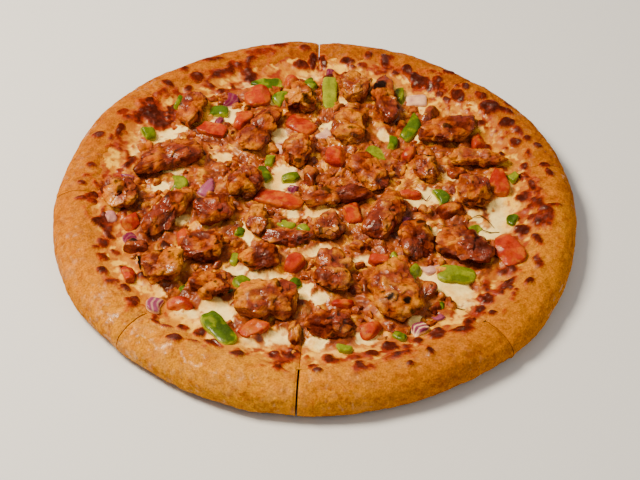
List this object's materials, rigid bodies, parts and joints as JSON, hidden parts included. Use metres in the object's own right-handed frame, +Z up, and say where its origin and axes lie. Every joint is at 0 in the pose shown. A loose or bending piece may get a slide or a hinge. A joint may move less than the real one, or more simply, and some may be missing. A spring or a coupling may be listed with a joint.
{
  "type": "pan pizza",
  "caption": "Round pan pizza with a thick raised crust, cut into slices, with melted cheese, browned chicken, tomato, green pepper and red onion on top.",
  "frame": {"origin": "on the surface that the pizza lies on, under the middle of its outline", "axes": "+Z up; -Y towards the viewer of the picture, +X to the viewer's right"},
  "size_m": [0.3036, 0.3027, 0.0292],
  "materials": {
    "dough": "golden brown baked crust, slightly oily",
    "cheese": "melted pale cheese, browned and saucy towards the rim",
    "chicken": "glazed, roasted orange brown with charred spots",
    "tomato": "soft, wet",
    "pepper": "shiny green skin"
  },
  "bodies": {
    "root": {"dough_slice_1": "dough", "dough_slice_2": "dough", "dough_slice_3": "dough", "dough_slice_4": "dough", "dough_slice_5": "dough", "dough_slice_6": "dough", "dough_slice_7": "dough", "dough_slice_8": "dough", "cheese_slice_1": "cheese", "cheese_slice_2": "cheese", "cheese_slice_3": "cheese", "cheese_slice_4": "cheese", "cheese_slice_5": "cheese", "cheese_slice_6": "cheese", "cheese_slice_7": "cheese", "cheese_slice_8": "cheese", "chicken_1": "chicken", "chicken_2": "chicken", "chicken_3": "chicken", "chicken_4": "chicken", "chicken_5": "chicken", "chicken_6": "chicken", "chicken_7": "chicken", "chicken_8": "chicken", "chicken_9": "chicken", "chicken_10": "chicken", "chicken_11": "chicken", "chicken_12": "chicken", "chicken_13": "chicken", "chicken_14": "chicken", "chicken_15": "chicken", "chicken_16": "chicken", "chicken_17": "chicken", "chicken_18": "chicken", "chicken_19": "chicken", "chicken_20": "chicken", "chicken_21": "chicken", "chicken_22": "chicken", "chicken_23": "chicken", "chicken_24": "chicken", "chicken_25": "chicken", "chicken_26": "chicken", "chicken_27": "chicken", "chicken_28": "chicken", "chicken_29": "chicken", "chicken_30": "chicken", "chicken_31": "chicken", "chicken_32": "chicken", "tomato_1": "tomato", "tomato_2": "tomato", "tomato_3": "tomato", "tomato_4": "tomato", "tomato_5": "tomato", "tomato_6": "tomato", "tomato_7": "tomato", "tomato_8": "tomato", "tomato_9": "tomato", "pepper_1": "pepper", "pepper_2": "pepper", "pepper_3": "pepper"}
  },
  "joints": []
}
